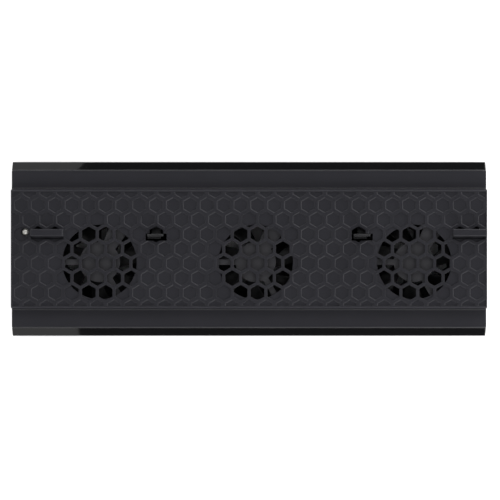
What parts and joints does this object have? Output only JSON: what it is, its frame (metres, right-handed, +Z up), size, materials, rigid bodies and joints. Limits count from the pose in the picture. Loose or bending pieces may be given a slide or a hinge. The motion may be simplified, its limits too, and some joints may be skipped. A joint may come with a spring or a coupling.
{
  "type": "console cooling stand",
  "caption": "Low oblong cooling stand for a slim upright game console, with round fan grilles in a raised hexagon-patterned deck between two ledges and gloss side strips.",
  "frame": {"origin": "centre of the stand's outline, on the plane that the rubber feet rest on", "axes": "+X along the stand towards the end with the power button and inlet, +Y across it towards the side where the hooks and ribs are, +Z up"},
  "size_m": [0.2913, 0.1068, 0.034],
  "materials": {
    "deck_plastic": "fine matt texture",
    "shell_plastic": "fine matt texture",
    "gloss_trim": "high gloss",
    "foot_rubber": "matt rubber",
    "hook_plastic": "satin",
    "screw_steel": "dark zinc",
    "pin_steel": "turned, polished dome",
    "spring_steel": "drawn wire",
    "board_laminate": "solder mask",
    "socket_plastic": "satin",
    "contact_metal": "plated",
    "button_plastic": "satin grey",
    "fan_plastic": "satin",
    "frame_plastic": "satin",
    "shaft_steel": "ground",
    "magnet_ferrite": "bonded ferrite, matt",
    "bearing_bronze": "sintered",
    "core_steel": "laminated",
    "coil_copper": "enamelled wire",
    "lead_sleeve": "soft sleeve"
  },
  "bodies": {
    "stand": {"hex_deck": "deck_plastic", "top_cover": "shell_plastic", "bottom_cover": "shell_plastic", "front_side_trim": "gloss_trim", "rear_side_trim": "gloss_trim", "rubber_feet": "foot_rubber", "left_hook": "hook_plastic", "right_hook": "hook_plastic", "hook_screws": "screw_steel", "fan_screws": "screw_steel", "case_screws": "screw_steel", "board_screws": "screw_steel", "pin_retainer": "shell_plastic", "pin_spring": "spring_steel", "circuit_board": "board_laminate", "lead_sockets": "socket_plastic", "power_inlet": "socket_plastic", "inlet_contact": "contact_metal", "power_switch": "socket_plastic", "left_fan_frame": "frame_plastic", "left_fan_bearing": "bearing_bronze", "left_fan_core": "core_steel", "left_fan_coils": "coil_copper", "left_fan_drive_board": "board_laminate", "left_fan_lead": "lead_sleeve", "middle_fan_frame": "frame_plastic", "middle_fan_bearing": "bearing_bronze", "middle_fan_core": "core_steel", "middle_fan_coils": "coil_copper", "middle_fan_drive_board": "board_laminate", "middle_fan_lead": "lead_sleeve", "right_fan_frame": "frame_plastic", "right_fan_bearing": "bearing_bronze", "right_fan_core": "core_steel", "right_fan_coils": "coil_copper", "right_fan_drive_board": "board_laminate", "right_fan_lead": "lead_sleeve"},
    "left_rotor": {"left_fan_rotor": "fan_plastic", "left_fan_shaft": "shaft_steel", "left_fan_magnet_ring": "magnet_ferrite"},
    "middle_rotor": {"middle_fan_rotor": "fan_plastic", "middle_fan_shaft": "shaft_steel", "middle_fan_magnet_ring": "magnet_ferrite"},
    "right_rotor": {"right_fan_rotor": "fan_plastic", "right_fan_shaft": "shaft_steel", "right_fan_magnet_ring": "magnet_ferrite"},
    "pin": {"locating_pin": "pin_steel"},
    "button": {"power_button": "button_plastic"}
  },
  "joints": [
    {"name": "left_fan_spin", "type": "hinge", "parent": "stand", "child": "left_rotor", "pos_m": [-0.091, -0.008, 0.02], "axis": [0, 0, 1], "continuous": true},
    {"name": "middle_fan_spin", "type": "hinge", "parent": "stand", "child": "middle_rotor", "pos_m": [0.0041, -0.008, 0.02], "axis": [0, 0, 1], "continuous": true},
    {"name": "right_fan_spin", "type": "hinge", "parent": "stand", "child": "right_rotor", "pos_m": [0.1006, -0.008, 0.02], "axis": [0, 0, 1], "continuous": true},
    {"name": "pin_press", "type": "slide", "parent": "stand", "child": "pin", "axis": [0, 0, -1], "range_m": [0, 0.0028], "stiffness_N_per_m": 400, "springref_m": -0.002, "deforming": ["pin_spring"]},
    {"name": "button_press", "type": "slide", "parent": "stand", "child": "button", "axis": [-1, 0, 0], "range_m": [0, 0.001], "stiffness_N_per_m": 800, "springref_m": -0.001}
  ]
}
